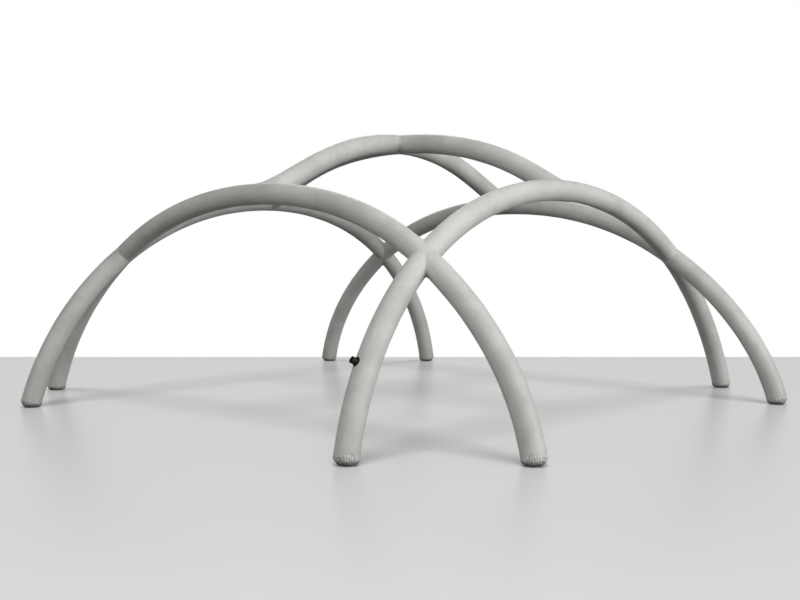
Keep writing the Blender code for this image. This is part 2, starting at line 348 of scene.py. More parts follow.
def sleeveBetween(name, line, starts, ends, placeOf, mapTurn):
    # a closed sleeve whose columns run from starts to ends; placeOf(distance, column) is its skin
    size = sleeveSizes
    first, last = min(starts), max(ends)
    total = last - first
    places = ringPlaces(total)
    sleeve = bevelledSleeve(name, line, first, last, len(places) - 1)
    vertices = sleeve.data.vertices
    if len(vertices) != size["columns"] * len(places):
        raise RuntimeError("{} has {} points".format(name, len(vertices)))
    blend = min(size["blend"], total / 2)
    distances = []
    for index, vertex in enumerate(vertices):
        ring, column = divmod(index, size["columns"])
        place = places[ring]
        distance = first + place
        distance += (starts[column] - first) * max(1 - place / blend, 0)
        distance -= (last - ends[column]) * max(1 - (total - place) / blend, 0)
        distances.append(distance)
        vertex.co = placeOf(distance, column)
    spreadMap(sleeve.data, distances, mapTurn)
    closeEnds(sleeve)
    return sleeve


def columnTurns(phase=0.0):
    columns = sleeveSizes["columns"]
    return [phase + 2 * pi * column / columns for column in range(columns)]


def creaseMove(place, normal, cut):
    # rounds the crease between two tubes, with a fine puckered seam in its bottom
    size = creaseSizes
    inside, plane, fromPole = cut(place)
    inside = max(inside, 0)
    if inside > size["upTo"]:
        return Vector(), 0
    lean = -normal.dot(plane)
    outward = normal + plane * lean
    steep = min(lean / max(sqrt(1 - lean * lean), size["flattest"]), size["steepest"])
    reach = size["filletReach"]
    lift = steep * reach / 2 * max(1 - inside / reach, 0) ** 2 if steep > 0 else 0
    level = size["levelGroove"]
    groove = size["grooveDepth"] * (level + (1 - level) * min(abs(lean) * 2, 1))
    groove *= exp(-inside / size["grooveWidth"])
    near = exp(-inside / size["puckerReach"])
    pucker = size["puckerDepth"] * near * noise.noise(place * size["puckers"])
    pucker *= smoothStep(0, size["puckerReach"], fromPole)
    return outward.normalized() * (lift - groove + pucker), near


def unevenSkin(point, line, distance, turn):
    size = skinSizes
    sway, folds = turn + size["streakTwist"] * distance, size["streaksRound"]
    streak = Vector((size["streaksAlong"] * distance, folds * cos(sway), folds * sin(sway)))
    streak += line["across"] * size["streakOffset"]
    small = size["smallShare"] * noise.noise(point * size["smallLumps"])
    swell = size["unevenness"] * (noise.noise(point * size["lumps"]) + small)
    return swell + size["streak"] * noise.noise(streak)


def bendWrinkle(point, distance, turn):
    size = skinSizes
    drift = size["wrinkleDrift"] * noise.noise(point * size["driftLumps"])
    ripple = sin(2 * pi * distance / size["wrinkleLength"] + drift)
    return size["wrinkle"] * max(-cos(turn), 0) ** 2 * ripple


def sleevePiece(name, line, startCut, endCut, phase=0.0):
    # startCut and endCut are (kept, gone, cut), or a plain distance for a square end
    turns = columnTurns(phase)
    squareEnds = [end for end in (startCut, endCut) if isinstance(end, float)]
    cuts = [end[2] for end in (startCut, endCut) if end not in squareEnds]

    def columnEnds(end):
        if end in squareEnds:
            return [end] * len(turns)
        return [findCut(line, turn, *end) for turn in turns]

    def placeOf(distance, column):
        turn = turns[column]
        point, normal = skinPoint(line, distance, turn)
        swell = unevenSkin(point, line, distance, turn) + bendWrinkle(point, distance, turn)
        for end in squareEnds:
            fromEnd = abs(distance - end)
            swell *= smoothStep(legEnd["tuckTo"], legEnd["trueUpTo"], fromEnd)
            untucked = smoothStep(legEnd["tuckFrom"], legEnd["tuckTo"], fromEnd)
            swell -= legEnd["tuckDepth"] * (1 - untucked)
        move = Vector()
        for cut in cuts:
            crease, near = creaseMove(point, normal, cut)
            move += crease
            swell *= 1 - near
        return point + normal * swell + move
    return sleeveBetween(name, line, columnEnds(startCut), columnEnds(endCut), placeOf,
                         phase - sleeveSizes["lapTurn"])


archLines = {}
for side in sides:
    place = archPlace(side)
    across = (place.to_3x3() @ Vector((0, 1, 0))).normalized()
    knots = mirrored(halfArch(archOf(side)), Vector((-1, 1, 1)))
    archLines[side] = traceLine(knots, place, across)

sleeves = {}
for side in sides:
    line = archLines[side]
    reach = sleeveSizes["cutSearch"]
    spanCuts = []
    for end in (1, -1):
        centre, way = cornerOf(side, end)
        otherWay = cornerOf(neighbourOf(side, end), -end)[1]
        at = distanceNear(line, centre)
        pole = way.cross(otherWay).normalized()  # where four tubes meet, on a column of the skin
        phase = atan2(pole.dot(line["across"]), pole.dot(lineAt(line, at)[1]))
        legCut = (at - end * reach, at + end * reach, mitreCut(centre, -way, otherWay))
        spanCuts.append((at + end * reach, at - end * reach, mitreCut(centre, way, otherWay)))
        legName = "leg_{}_{}".format(side, neighbourOf(side, end)[0])
        ends = (0.0, legCut) if end == 1 else (legCut, line["length"])
        sleeves[legName] = sleevePiece("sleeve_" + legName, line, *ends, phase)
    sleeves["span_" + side] = sleevePiece("sleeve_span_" + side, line, *spanCuts, phase)
    print("sleeves of the", side, "arch")


# Crown

saddleSizes = {
    "search": 0.30,  # the cut lies within this of the arch's centre line
    "upTo": 0.10,  # from the rim
    "sink": 0.003,  # the rim ends this far under the arch's skin
    "flare": 0.009, "flareReach": 0.028,
    "grooveDepth": 0.0012,  # seam round the flare
    "grooveUp": 0.0075, "grooveWidth": 0.0022,
}


def seatOnArch(place, normal, archLine, isRim):
    # flares the end of a crown tube into a small fillet, and lets its rim down onto the arch
    size = saddleSizes
    axisPoint = lineAt(archLine, distanceNear(archLine, place))[0]
    radial = (place - axisPoint).normalized()
    away = max((place - axisPoint).length - tubeRadius, 0)
    upright = max(1 - abs(normal.dot(radial)), 0)
    lift = size["flare"] * max(1 - away / size["flareReach"], 0) ** 2
    stitched = size["grooveDepth"] * exp(-((away - size["grooveUp"]) / size["grooveWidth"]) ** 2)
    place = place + normal * (lift - stitched) * upright
    if isRim:
        axisPoint = lineAt(archLine, distanceNear(archLine, place))[0]
        return axisPoint + (place - axisPoint).normalized() * (tubeRadius - size["sink"])
    return place


def crownPiece(line, inward, side, across, isFirst, rimReach=1e-5):
    # one half of a crown tube, from the arch it sits on to the seam over the middle
    turns = columnTurns()
    archLine = archLines[side]

    def saddle(place):
        fromAxis = axisDistance(archLine, place, archLine["length"] / 2)
        return fromAxis - tubeRadius + saddleSizes["sink"], None
    top = Vector((0, 0, crownSizes["height"]))
    seam = mitreCut(top, -inward if isFirst else inward, across)
    middle, search = distanceNear(line, top), sleeveSizes["cutSearch"]
    foot, onward = crownSizes["intoArch"], 1
    if not isFirst:
        foot, onward = line["length"] - foot, -1
    clear, buried = foot + onward * saddleSizes["search"], foot + onward * crownSizes["endOffset"]
    feet = [findCut(line, turn, clear, buried, saddle) for turn in turns]
    tops = [findCut(line, turn, middle - onward * search, middle + onward * search, seam)
            for turn in turns]

    def placeOf(distance, column):
        turn = turns[column]
        point, normal = skinPoint(line, distance, turn)
        swell = unevenSkin(point, line, distance, turn)
        crease, near = creaseMove(point, normal, seam)
        place = point + normal * swell * (1 - near) + crease
        fromFoot = abs(distance - feet[column])
        if fromFoot < saddleSizes["upTo"]:
            place = seatOnArch(place, normal, archLine, fromFoot < rimReach)
        return place
    starts, ends = (feet, tops) if isFirst else (tops, feet)
    return sleeveBetween("sleeve_crown_" + side, line, starts, ends, placeOf, -pi)


crownPairs = (("south", "north", crownSizes["southNorth"], Vector((1, 0, 0))),
              ("east", "west", crownSizes["eastWest"], Vector((0, 1, 0))))
for side, opposite, crown, across in crownPairs:
    knots, inward = wholeCrown(side, crown)
    lineAcross = Vector((0, 0, 1)).cross(inward) * -1
    line = traceLine(knots, Matrix.Identity(4), lineAcross.normalized())
    for own in (side, opposite):
        sleeves["crown_" + own] = crownPiece(line, inward, own, across, own == side)
    print("crown", side, "to", opposite)


# Feet

footCap = {
    "columns": 216, "wallRings": 26, "sideRings": 26, "soleRings": 7,
    "topEdge": 0.026,  # over the weld, where the foot's fabric laps the leg's
    "edge": 0.0004,
    "hemStep": 0.003,  # from the leg's skin in to the hidden ring
    "rimDrop": 0.018,  # the gathered seam, under the weld
    "sideLength": 0.09,  # from the gathered seam round to the sole
    "soleRadius": 0.060,
    "soleInwards": 0.020,  # the weight of the arch rolls the foot this far in
    "roundness": 0.27,
    "gathers": 41, "gatherDepth": 0.0046,
    "gatherReach": 0.0105,  # how far most gathers run up from the seam
    "patches": 0.9,  # how much the reach and slant of the gathers differ
    "ridge": 0.0016, "ridgeWidth": 0.0034,
    "dentDepth": 0.0032, "dentWidth": 0.075,
    "clearance": 0.0004,  # over the floor, beside the sole
    "hemRow": 0.0065,  # stitches, from the top edge
}


def gatherShape(turn):
    # uneven gathers: 0 on a fold's crest, down to -1 in the narrow valleys
    swing = turn + 0.10 * sin(3 * turn + 0.7) + 0.05 * sin(7 * turn + 2.1)
    crest = abs(cos(footCap["gathers"] * swing / 2))
    size = 0.58 + 0.20 * sin(2 * turn + 1.0) + 0.22 * sin(5 * turn + 0.3)
    return (crest ** 0.7 - 1) * size


def footProfile():
    # (kind, share) of each ring, from inside the leg over the edge and down to mid-sole
    wall, side, sole = footCap["wallRings"], footCap["sideRings"], footCap["soleRings"]
    rings = [("hidden", 0)] + [("wall", 1 - step / wall) for step in range(wall + 1)]
    rings += [("side", (step / side) ** 1.1) for step in range(1, side + 1)]
    return rings + [("sole", step / sole) for step in range(1, sole + 1)]


def wallPoint(fromSeam, turn, radial, weldEdge, down):
    # over the gathered seam, up the leg
    size = footCap
    smooth = weldEdge + down * (size["rimDrop"] - fromSeam)
    patch = size["patches"] * noise.noise(Vector((4 * cos(turn), 4 * sin(turn), 3)))
    reach = size["gatherReach"] * (1 + patch)
    gather = size["gatherDepth"] * gatherShape(turn + patch * fromSeam) * exp(-fromSeam / reach)
    return smooth + radial * (gather + size["ridge"] * exp(-(fromSeam / size["ridgeWidth"]) ** 2))


def sidePoint(share, turn, radial, level, seam, sole, down):
    # under the gathered seam, round to the sole
    size = footCap
    downPull = (sole - seam).dot(down) * size["roundness"]
    sidePull = (seam - sole).dot(level) * size["roundness"]
    smooth = bezierPoint([seam, seam + down * downPull, sole + level * sidePull, sole], share)
    under = (radial + down * 1.2).normalized()
    away = radial.lerp(under, smoothStep(0, 0.5, share)).normalized()
    fold = gatherShape(turn + 0.05 * sin(4 * turn + 5 * share) * share)
    wave = noise.noise(Vector((3 * cos(turn), 3 * sin(turn), 4 * share)))
    depth = size["gatherDepth"] * fold * (1 - share) ** 1.3 * (1 + 0.6 * wave)
    ridge = size["ridge"] * exp(-(share * size["sideLength"] / size["ridgeWidth"]) ** 2)
    dentLine = 0.46 + 0.13 * sin(2 * turn + 0.6) + 0.05 * sin(5 * turn)
    dent = size["dentDepth"] * max(sin(3 * turn + 1.1), 0)
    dent *= exp(-((share - dentLine) / size["dentWidth"]) ** 2)
    place = smooth + away * (depth + ridge - dent)
    place.z = max(place.z, size["clearance"] * (1 - share))
    return place


def footPoint(kind, share, turn, axes):
    size = footCap
    weldCentre, soleCentre, outer, sideways, down = axes
    radial = outer * cos(turn) + sideways * sin(turn)
    level = Vector((cos(turn), sin(turn), 0))
    if kind == "hidden":
        return weldCentre + radial * (tubeRadius - size["hemStep"]) - down * size["topEdge"]
    weldEdge = weldCentre + radial * (tubeRadius + size["edge"])
    if kind == "wall":
        fromSeam = (size["topEdge"] + size["rimDrop"]) * share
        return wallPoint(fromSeam, turn, radial, weldEdge, down)
    if kind == "side":
        seam, sole = weldEdge + down * size["rimDrop"], soleCentre + level * size["soleRadius"]
        return sidePoint(share, turn, radial, level, seam, sole, down)
    return soleCentre + level * size["soleRadius"] * (1 - share)


footCloth = {
    "frames": 16,
    "spareFrom": 0.004, "spareUpTo": 0.024,  # over the gathered seam
    "smoothFrom": 0.029,
    "seamHalf": 0.0006,  # held at the gathered seam
    "soleHeight": 0.0012,  # held under this
    "farthest": 0.0065,  # no point moves more than this
    "floorGap": 0.0001,
    "settings": {
        "vertex_group_mass": "held",
        "quality": 7, "mass": 0.1,
        "tension_stiffness": 22, "compression_stiffness": 22,
        "shear_stiffness": 8, "bending_stiffness": 0.05,
        "use_pressure": True, "uniform_pressure_force": 3.0,
        "vertex_group_shrink": "taut",
        "shrink_min": -0.10, "shrink_max": 0,  # gathered fabric is cut larger than its place
    },
}


def addCloth(foot):
    onlySelected(foot)
    bpy.ops.object.modifier_add(type="CLOTH")
    cloth = foot.modifiers[-1]
    for name, value in footCloth["settings"].items():
        setattr(cloth.settings, name, value)
    cloth.settings.effector_weights.gravity = 0
    cloth.point_cache.frame_start, cloth.point_cache.frame_end = 1, footCloth["frames"]
    return cloth


def billow(foot, weldCentre, down):
    # the air pushes the spare fabric out between the stitches of the gathered seam
    size = footCloth
    start = [vertex.co.copy() for vertex in foot.data.vertices]
    held, taut = foot.vertex_groups.new(name="held"), foot.vertex_groups.new(name="taut")
    for index, point in enumerate(start):
        overSeam = footCap["rimDrop"] - (point - weldCentre).dot(down)
        atSeam = abs(overSeam) < size["seamHalf"]
        if overSeam > size["smoothFrom"] or atSeam or point.z < size["soleHeight"]:
            held.add([index], 1.0, "REPLACE")
        taut.add([index], smoothStep(size["spareFrom"], size["spareUpTo"], overSeam), "REPLACE")
    cloth = addCloth(foot)
    for frameNumber in range(1, size["frames"] + 1):
        scene.frame_set(frameNumber)
    bpy.ops.object.modifier_apply(modifier=cloth.name)
    foot.vertex_groups.clear()
    furthest = 0
    for vertex, before in zip(foot.data.vertices, start):
        move = vertex.co - before
        furthest = max(furthest, move.length)
        if move.length > size["farthest"]:
            move *= size["farthest"] / move.length
        vertex.co = before + move
        vertex.co.z = max(vertex.co.z, min(before.z, size["floorGap"]))
    scene.frame_set(1)
    print("foot fabric moved by up to", round(furthest * 1000, 1), "mm")


def markFolds(foot, weldCentre, down, rounds=10, deepFold=0.0013, fadeFrom=0.6):
    # how far each point lies under the smoothed skin, 1 in a deep fold and -1 on a sharp crest
    mesh = foot.data
    beside = [[] for _ in mesh.vertices]
    for edge in mesh.edges:
        first, second = edge.vertices
        beside[first].append(second)
        beside[second].append(first)
    smooth = [vertex.co.copy() for vertex in mesh.vertices]
    for _ in range(rounds):
        smooth = [sum((smooth[other] for other in others), Vector()) / len(others)
                  for others in beside]
    folds = mesh.attributes.new("foldDepth", "FLOAT", "POINT")
    for vertex, place, value in zip(mesh.vertices, smooth, folds.data):
        overSeam = footCap["rimDrop"] - (vertex.co - weldCentre).dot(down)
        share = 1 - smoothStep(fadeFrom, 1, overSeam / footCloth["smoothFrom"])
        depth = (place - vertex.co).dot(vertex.normal) / deepFold
        value.value = min(max(depth, -1), 1) * share


def buildFoot():
    # the foot at the east end of the south arch, which all eight are copied from
    arch = archSizes["long"]
    place = archPlace("south")
    down = place.to_3x3() @ -rising(arch["footAngle"])
    weldCentre = place @ halfArch(arch)[0][0]
    soleCentre = place @ Vector((arch["footReach"] - footCap["soleInwards"], 0, 0))
    soleCentre.z = 0
    across = place.to_3x3() @ Vector((0, 1, 0))
    axes = (weldCentre, soleCentre, across.cross(-down).normalized(), across, down)
    rings, columns = footProfile(), footCap["columns"]
    foot = addPiece("foot", bpy.ops.mesh.primitive_grid_add, size=1,
                    x_subdivisions=columns, y_subdivisions=len(rings) - 1)
    distances, before = [], {}
    for index, vertex in enumerate(foot.data.vertices):
        ring, column = divmod(index, columns + 1)
        kind, share = rings[ring]
        point = footPoint(kind, share, 2 * pi * (column % columns) / columns, axes)
        last = before.get(column)
        travelled = last[0] + (point - last[1]).length if ring > 1 else 0
        before[column] = (travelled, point)
        distances.append(travelled)
        vertex.co = point
    flat = foot.data.uv_layers[0]
    flat.name = "UVMap"
    for loop in foot.data.loops:
        spot = flat.data[loop.index]
        spot.uv = (-distances[loop.vertex_index], spot.uv.x * circumference)
    editAll(foot)
    bpy.ops.mesh.remove_doubles(threshold=0.00001)
    closeEnds(foot)
    billow(foot, weldCentre, down)
    markFolds(foot, weldCentre, down)
    return foot, place @ Matrix.Translation((arch["footReach"], 0, 0))


firstFoot, firstPlace = buildFoot()
for side in sides:
    for end in (1, -1):
        node = "foot_{}_{}".format(side, neighbourOf(side, end)[0])
        reach = archOf(side)["footReach"] * end
        mirror = Matrix.Scale(end, 4, (1, 0, 0))
        place = archPlace(side) @ Matrix.Translation((reach, 0, 0)) @ mirror
        foot = firstFoot.copy()
        foot.data = firstFoot.data.copy()
        foot.name = foot.data.name = "cap_" + node
        scene.collection.objects.link(foot)
        foot.data.transform(place @ firstPlace.inverted())
        turnFacesOut(foot)
        sleeves[node] = foot
bpy.data.objects.remove(firstFoot)
print("feet done")


for node, sleeve in sleeves.items():
    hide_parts(node)
    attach(sleeve, "frame")


# Valve

seatSizes = {
    "height": 0.69,  # on the leg's centre line
    "turn": radians(18),  # from the leg's outer side towards the inside of the frame
    "searchFrom": 0.75,  # share of the arch's line that is surely above the seat
    "upStep": 0.001,
}
flangeSizes = {
    "radius": 0.041, "thickness": 0.004, "sides": 96,
    "rimInsets": (0.0035, 0.0012), "underInset": 0.004,
    "grooveWall": 0.0008, "grooveFloor": 0.0016, "grooveDepth": 0.0011,
    "rings": (0.004, 0.005, 0.006, 0.007, 0.007),  # let the plate bend round the tube
    "edge": 0.0007,
}
bodySizes = {
    "bottom": -0.004, "sides": 72,
    "baseRadius": 0.029, "baseTop": 0.014,
    "skirtRise": 0.0022, "skirtInset": 0.0016, "shoulderRise": 0.0028,
    "neckRadius": 0.022, "neckTop": 0.034, "neckInsets": (0.002, 0.012),
    "sink": 0.0006,  # into the flange
    "edge": 0.0007,
}
capSizes = {
    "radius": 0.027, "bottom": 0.0155, "top": 0.043,
    "bore": 0.0226, "boreTop": 0.0365,
    "rimInsets": (0.0045, 0.0012), "dish": 0.0012, "dishInsets": (0.004, 0.009),
    "ribs": 24, "ribInset": 0.0013, "ribDepth": 0.0009,
    "edge": 0.0005,
}


def valveSeat(halvings=40):
    # axes on the leg's skin: X up the leg, Z straight out of the tube
    size, line = seatSizes, archLines["east"]
    low, high = line["length"], line["length"] * size["searchFrom"]
    for _ in range(halvings):
        middle = (low + high) / 2
        if lineAt(line, middle)[0].z < size["height"]:
            low = middle
        else:
            high = middle
    seat, out = skinPoint(line, middle, size["turn"])
    upLeg = (lineAt(line, middle - size["upStep"])[0] - lineAt(line, middle)[0]).normalized()
    axes = Matrix((upLeg, out.cross(upLeg), out)).transposed().to_4x4()
    return Matrix.Translation(seat) @ axes


def disc(name, radius, low, high, sideCount):
    piece = addPiece(name, bpy.ops.mesh.primitive_cylinder_add, vertices=sideCount, radius=radius,
                     depth=high - low, location=(0, 0, (low + high) / 2))
    bpy.ops.object.transform_apply()
    return piece


def looksUp(face):
    return face.normal.z > 0.9


def looksDown(face):
    return face.normal.z < -0.9


def editFaces(piece, chosen):
    # edit mode with only the faces that chosen(face) picks
    onlySelected(piece)
    for part in (piece.data.vertices, piece.data.edges, piece.data.polygons):
        part.foreach_set("select", [False] * len(part))
    for face in piece.data.polygons:
        face.select = chosen(face)
    editMode(True)
    bpy.ops.mesh.select_mode(type="FACE")


def insetFaces(*widths):
    for width in widths:
        bpy.ops.mesh.inset(thickness=width)


def liftFaces(height):
    bpy.ops.mesh.extrude_region_move(TRANSFORM_OT_translate={"value": (0, 0, height)})


def roundedEdges(piece, width, segments=3, angle=radians(40)):
    onlySelected(piece)
    bevel = piece.modifiers.new("edges", "BEVEL")
    bevel.width, bevel.segments, bevel.angle_limit = width, segments, angle
    bevel.limit_method = "ANGLE"
    bpy.ops.object.modifier_apply(modifier=bevel.name)


def tubeDrop(sideways):
    # how far the tube's skin has fallen away this far to the side of its top line
    return sqrt(tubeRadius ** 2 - sideways ** 2) - tubeRadius


def buildFlange():
    size = flangeSizes
    flange = disc("valve_flange_plate", size["radius"], 0, size["thickness"], size["sides"])
    editFaces(flange, looksUp)
    insetFaces(*size["rimInsets"], size["grooveWall"])  # a groove round the weld rim
    liftFaces(-size["grooveDepth"])
    insetFaces(size["grooveFloor"])
    liftFaces(size["grooveDepth"])
    insetFaces(*size["rings"])
    editFaces(flange, looksDown)
    insetFaces(size["underInset"], *size["rings"])
    roundedEdges(flange, size["edge"])
    for vertex in flange.data.vertices:
        vertex.co.z += tubeDrop(vertex.co.y)
    return flange


def buildBody():
    size = bodySizes
    skirtTop = size["baseTop"] - (size["skirtRise"] + size["shoulderRise"])
    body = disc("valve_body_moulding", size["baseRadius"], size["bottom"], skirtTop, size["sides"])
    editFaces(body, looksUp)
    liftFaces(size["skirtRise"])
    insetFaces(size["skirtInset"])
    liftFaces(size["shoulderRise"])
    insetFaces(size["baseRadius"] - size["skirtInset"] - size["neckRadius"])
    liftFaces(size["neckTop"] - size["baseTop"])
    insetFaces(*size["neckInsets"])
    roundedEdges(body, size["edge"])
    for vertex in body.data.vertices:  # the moulding's foot follows the flange
        if vertex.co.z < 0:
            vertex.co.z = tubeDrop(vertex.co.y) + flangeSizes["thickness"] - size["sink"]
    return body


def buildCap():
    size = capSizes
    cap = disc("valve_cap_moulding", size["radius"], size["bottom"], size["top"], size["ribs"] * 4)
    editFaces(cap, looksDown)
    insetFaces(size["radius"] - size["bore"])
    liftFaces(size["boreTop"] - size["bottom"])
    editFaces(cap, lambda face: looksUp(face) and face.center.z > size["boreTop"])
    insetFaces(*size["rimInsets"])
    liftFaces(-size["dish"])
    insetFaces(*size["dishInsets"])
    editMode(False)
    walls = [face for face in cap.data.polygons
             if abs(face.normal.z) < 0.1 and face.center.xy.length > size["radius"] * 0.98]
    walls.sort(key=lambda face: atan2(face.center.y, face.center.x))
    ribs = {face.index for number, face in enumerate(walls) if number % 4 in (0, 1)}
    editFaces(cap, lambda face: face.index in ribs)
    bpy.ops.mesh.inset(thickness=size["ribInset"], depth=size["ribDepth"])
    roundedEdges(cap, size["edge"], 2)
    return cap


seat = valveSeat()
valveParts = {"valve_flange": buildFlange(), "valve_body": buildBody(), "valve_cap": buildCap()}
for node, part in valveParts.items():
    part.data.transform(seat)
    turnFacesOut(part)
    bpy.ops.object.shade_smooth_by_angle(angle=radians(35))
    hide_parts(node)
    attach(part, "cap" if node == "valve_cap" else "frame")
print("valve done")


# Camera, light and floor

cameraSizes = {"distance": 11.82, "height": 1.589, "lens": 49.72, "clipEnd": 200,
               "shiftX": 0.0011, "shiftY": -0.0653}
studio = {
    "floorDepth": 60, "floorWidth": 70, "floorBehind": 4.26,
    "bounceHeight": -0.002,
    "ambient": 0.43,
    "lightAim": 1,  # height over the middle of the frame
    "backdropRadius": 60,
    "floorFinish": ((0.36, 0.36, 0.36), 0.3, 0.095, 0.05),  # colour, roughness, glow, specular
    "bounceFinish": ((0.22, 0.22, 0.22), 0.9),
    "backdropFinish": ((0, 0, 0), 1, 1),
}
lights = {
    # name: (metres to the right, into the view, up), disc size, power
    "keyLight": ((25.1, -14.5, 7.8), 14, 6400),
    "leftFill": ((-18.4, -18.4, 15), 14, 2110),
    "frontLight": ((1, -11, 6), 5, 194),
    "cornerLight": ((0, -4.5, 6), 5, 60),
    "rightLight": ((4.5, -4, 4.8), 2.5, 54),
    "backLight": ((-2, 17, 12), 8, 700),
    "floorLight": ((0.3, -6, 30), 13, 7600),
    "floorFrontLight": ((0, -11, 4), 3, 240),
}
azimuth = radians(41.93)  # of the camera, from straight in front
toRight = Vector((cos(azimuth), sin(azimuth), 0))
intoView = Vector((-sin(azimuth), cos(azimuth), 0))

camera = addPiece("Camera", bpy.ops.object.camera_add, rotation=(pi / 2, 0, azimuth))
camera.location = (sin(azimuth) * cameraSizes["distance"], -cos(azimuth) * cameraSizes["distance"],
                   cameraSizes["height"])
camera.data.lens, camera.data.clip_end = cameraSizes["lens"], cameraSizes["clipEnd"]
camera.data.shift_x, camera.data.shift_y = cameraSizes["shiftX"], cameraSizes["shiftY"]
scene.camera = camera


def addFloor(name, height):
    piece = addPiece(name, bpy.ops.mesh.primitive_plane_add, size=1)
    piece.scale = (studio["floorWidth"], studio["floorDepth"], 1)
    piece.rotation_euler = (0, 0, azimuth)
    nearer = studio["floorBehind"] - studio["floorDepth"] / 2
    piece.location = intoView * nearer + Vector((0, 0, height))
    bpy.ops.object.transform_apply()
    return piece


floor = addFloor("floor", 0.0)
floor.visible_diffuse = False
bounceFloor = addFloor("bounceFloor", studio["bounceHeight"])  # throws light up under the tubes
bounceFloor.visible_camera = bounceFloor.visible_glossy = False

floorOnly = bpy.data.collections.new("floorOnly")  # lit by two lamps of its own
floorOnly.objects.link(floor)
modelOnly = bpy.data.collections.new("modelOnly")
for piece in (*sleeves.values(), *valveParts.values(), bounceFloor):
    modelOnly.objects.link(piece)
for name, ((right, into, height), size, power) in lights.items():
    spot = toRight * right + intoView * into + Vector((0, 0, height))
    aim = Vector((0, 0, studio["lightAim"]))
    light = addPiece(name, bpy.ops.object.light_add, type="AREA", location=spot)
    light.data.shape, light.data.size, light.data.energy = "DISK", size, power
    light.rotation_euler = (aim - spot).to_track_quat("-Z", "Y").to_euler()
    light.light_linking.receiver_collection = floorOnly if name.startswith("floor") else modelOnly

world = bpy.data.worlds.new("studio")
scene.world = world
world.use_nodes = True
ambient = world.node_tree.nodes["Background"]
ambient.inputs["Color"].default_value = (1, 1, 1, 1)
ambient.inputs["Strength"].default_value = studio["ambient"]
scene.view_settings.view_transform = "Standard"

backdrop = addPiece("backdrop", bpy.ops.mesh.primitive_uv_sphere_add, segments=48, ring_count=24,
                    radius=studio["backdropRadius"])
backdrop.visible_diffuse = backdrop.visible_shadow = backdrop.visible_transmission = False
backdrop.light_linking.receiver_collection = floorOnly  # mirrored in the floor alone


# Finishes

def wire(socket, value):
    if isinstance(value, bpy.types.NodeSocket):
        socket.id_data.links.new(value, socket)
    elif value is not None:
        socket.default_value = value


def addNode(tree, kind, *values, **settings):
    # a node with its first inputs wired or set; None leaves an input as it is
    node = tree.nodes.new("ShaderNode" + kind)
    for name, value in settings.items():
        setattr(node, name, value)
    for socket, value in zip(node.inputs, values):
        wire(socket, value)
    return node


def mathNode(tree, operation, *values):
    return addNode(tree, "Math", *values, operation=operation).outputs[0]


def noiseNode(tree, place, noiseSizes):
    scale, detail, roughness = noiseSizes
    return addNode(tree, "TexNoise", place, None, scale, detail, roughness).outputs["Fac"]


def fadeNode(tree, value, fade):
    # smooth: what comes in runs between the first two numbers, what goes out between the others
    return addNode(tree, "MapRange", value, *fade, interpolation_type="SMOOTHSTEP").outputs[0]


def cloudNode(tree, place, noiseSizes, fade):
    return fadeNode(tree, noiseNode(tree, place, noiseSizes), fade)


def mixColour(tree, share, first, second, blend="MIX"):
    colours = [(*value, 1) if isinstance(value, tuple) else value for value in (first, second)]
    node = addNode(tree, "Mix", share, *[None] * 5, *colours, data_type="RGBA", blend_type=blend)
    return node.outputs[2]


def startMaterial(name):
    material = bpy.data.materials.new(name)
    material.use_nodes = True
    return material, material.node_tree


def finishShader(tree, inputs, height=None):
    shader = tree.nodes["Principled BSDF"]
    for name, value in inputs.items():
        wire(shader.inputs[name], value)
    if height:
        bump = addNode(tree, "Bump")
        wire(bump.inputs["Distance"], 1.0)
        wire(bump.inputs["Height"], height)
        wire(shader.inputs["Normal"], bump.outputs[0])


fabricLook = {
    # noises have a scale, a detail and a roughness; fades are those of fadeNode
    "darker": (0.362, 0.357, 0.338), "lighter": (0.444, 0.439, 0.418),
    "tones": ((1.6, 5, 0.70), (0.36, 0.64, 0, 1)),
    "threads": 700,  # round a sleeve
    "weaveDepth": 0.000045,
    "threadTone": (-1, 1, 0.93, 1.03),
    "lapHalfWidth": 0.008,  # the sleeve's long seam
    "lapEdge": 0.0006, "lapRise": 0.0005,
    "stitchRow": 0.0052,  # from the middle of the seam
    "stitchWidth": (0.0001, 0.0007, 1, 0),
    "stitchLength": 0.0042,
    "stitchShape": (0.15, 0.6, -0.7, 1),
    "stitchRise": 0.00028,
    "stitchTone": {"sleeve": 0.35, "foot": 0.15},
    "creaseCells": 4.3,  # in a metre
    "creaseNoise": (2.2, 2, 0.5), "creaseBend": 0.35,
    "creaseWidth": (0, 0.045, 1, 0),
    "creaseDepths": ((1.9, 2, 0.5), (0.42, 0.62, -0.00002, -0.00016)),
    "ripples": (24, 2, 0.5), "rippleRise": 0.00035,
    "dust": (0.235, 0.222, 0.200),
    "dustHeight": (0, 0.16, 0.55, 0), "footDustHeight": (0, 0.07, 0.5, 0),
    "dustGrain": ((34, 5, 0.65), (0.42, 0.66, 0.1, 0.9)),
    # painted shade in the foot's folds, and painted contact shadow with some dirt where a foot
    # meets the floor
    "shadeAndGrime": (0.110, 0.105, 0.098),
    "paintedFoldShade": (0.05, 0.9, 0, 0.85), "contactShadeAndGrimeHeight": (0.008, 0.055, 0.90, 0),
    # painted highlights on the crests of the foot's gathers
    "paintedHighlight": (0.540, 0.535, 0.520), "paintedCrestHighlights": (-0.8, -0.1, 0.7, 0),
    "roughness": ((9, 3, 0.5), (0.3, 0.7, 0.50, 0.62)), "dustRoughness": 0.25,
    "uniform": {"Specular IOR Level": 0.35, "Sheen Weight": 0.06, "Sheen Roughness": 0.5},
}


